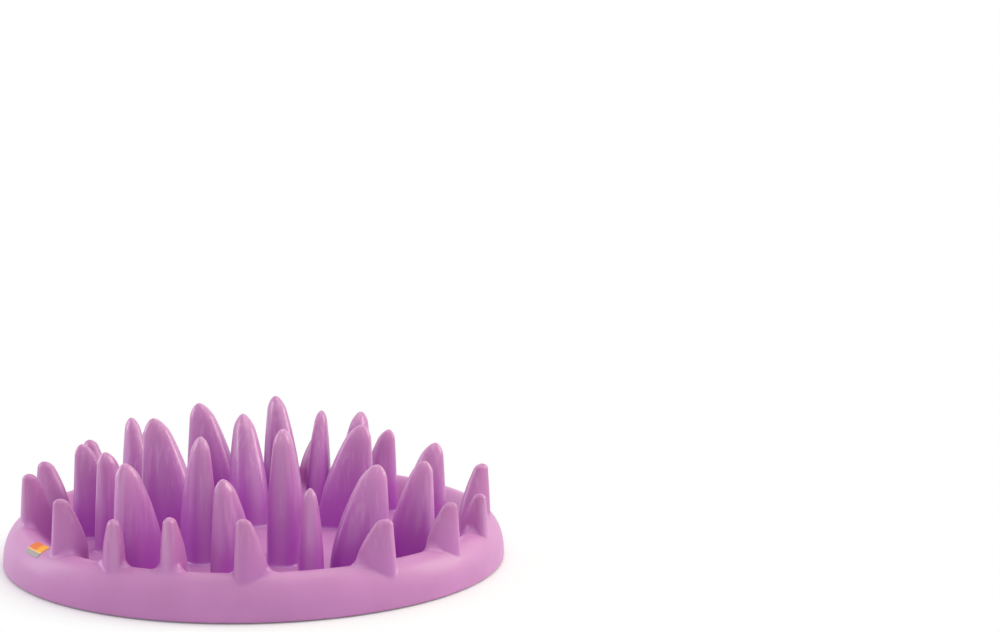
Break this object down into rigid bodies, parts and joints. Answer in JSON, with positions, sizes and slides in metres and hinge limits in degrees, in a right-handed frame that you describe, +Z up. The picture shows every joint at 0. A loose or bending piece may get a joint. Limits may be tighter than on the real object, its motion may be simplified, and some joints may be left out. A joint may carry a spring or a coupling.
{
  "type": "slow feeder bowl",
  "caption": "Round slow feeder bowl: a low dish with a rounded rim and upright blades that spread out food so a pet has to pick it out slowly.",
  "frame": {"origin": "on the table under the middle of the dish", "axes": "+Z up, -Y towards the front of the picture, +X to its right"},
  "size_m": [0.32, 0.32, 0.0938],
  "materials": {
    "bowl_plastic": "glossy moulded lilac plastic, slightly see-through at the tips",
    "foot_rubber": "matt dark rubber",
    "label_film": "plain satin amber film with nothing printed on it"
  },
  "bodies": {
    "root": {"dish": "bowl_plastic", "blade_inner_1": "bowl_plastic", "blade_inner_2": "bowl_plastic", "blade_inner_3": "bowl_plastic", "blade_inner_4": "bowl_plastic", "blade_inner_5": "bowl_plastic", "blade_middle_1": "bowl_plastic", "blade_middle_2": "bowl_plastic", "blade_middle_3": "bowl_plastic", "blade_middle_4": "bowl_plastic", "blade_middle_5": "bowl_plastic", "blade_middle_6": "bowl_plastic", "blade_middle_7": "bowl_plastic", "blade_middle_8": "bowl_plastic", "blade_middle_9": "bowl_plastic", "blade_middle_10": "bowl_plastic", "blade_middle_11": "bowl_plastic", "blade_middle_12": "bowl_plastic", "blade_middle_13": "bowl_plastic", "blade_middle_14": "bowl_plastic", "blade_middle_15": "bowl_plastic", "blade_middle_16": "bowl_plastic", "blade_rim_1": "bowl_plastic", "blade_rim_2": "bowl_plastic", "blade_rim_3": "bowl_plastic", "blade_rim_4": "bowl_plastic", "blade_rim_5": "bowl_plastic", "blade_rim_6": "bowl_plastic", "blade_rim_7": "bowl_plastic", "blade_rim_8": "bowl_plastic", "blade_rim_9": "bowl_plastic", "blade_rim_10": "bowl_plastic", "blade_rim_11": "bowl_plastic", "blade_rim_12": "bowl_plastic", "blade_rim_13": "bowl_plastic", "blade_rim_14": "bowl_plastic", "blade_rim_15": "bowl_plastic", "rim_label": "label_film", "rubber_foot_1": "foot_rubber", "rubber_foot_2": "foot_rubber", "rubber_foot_3": "foot_rubber", "rubber_foot_4": "foot_rubber"}
  },
  "joints": []
}
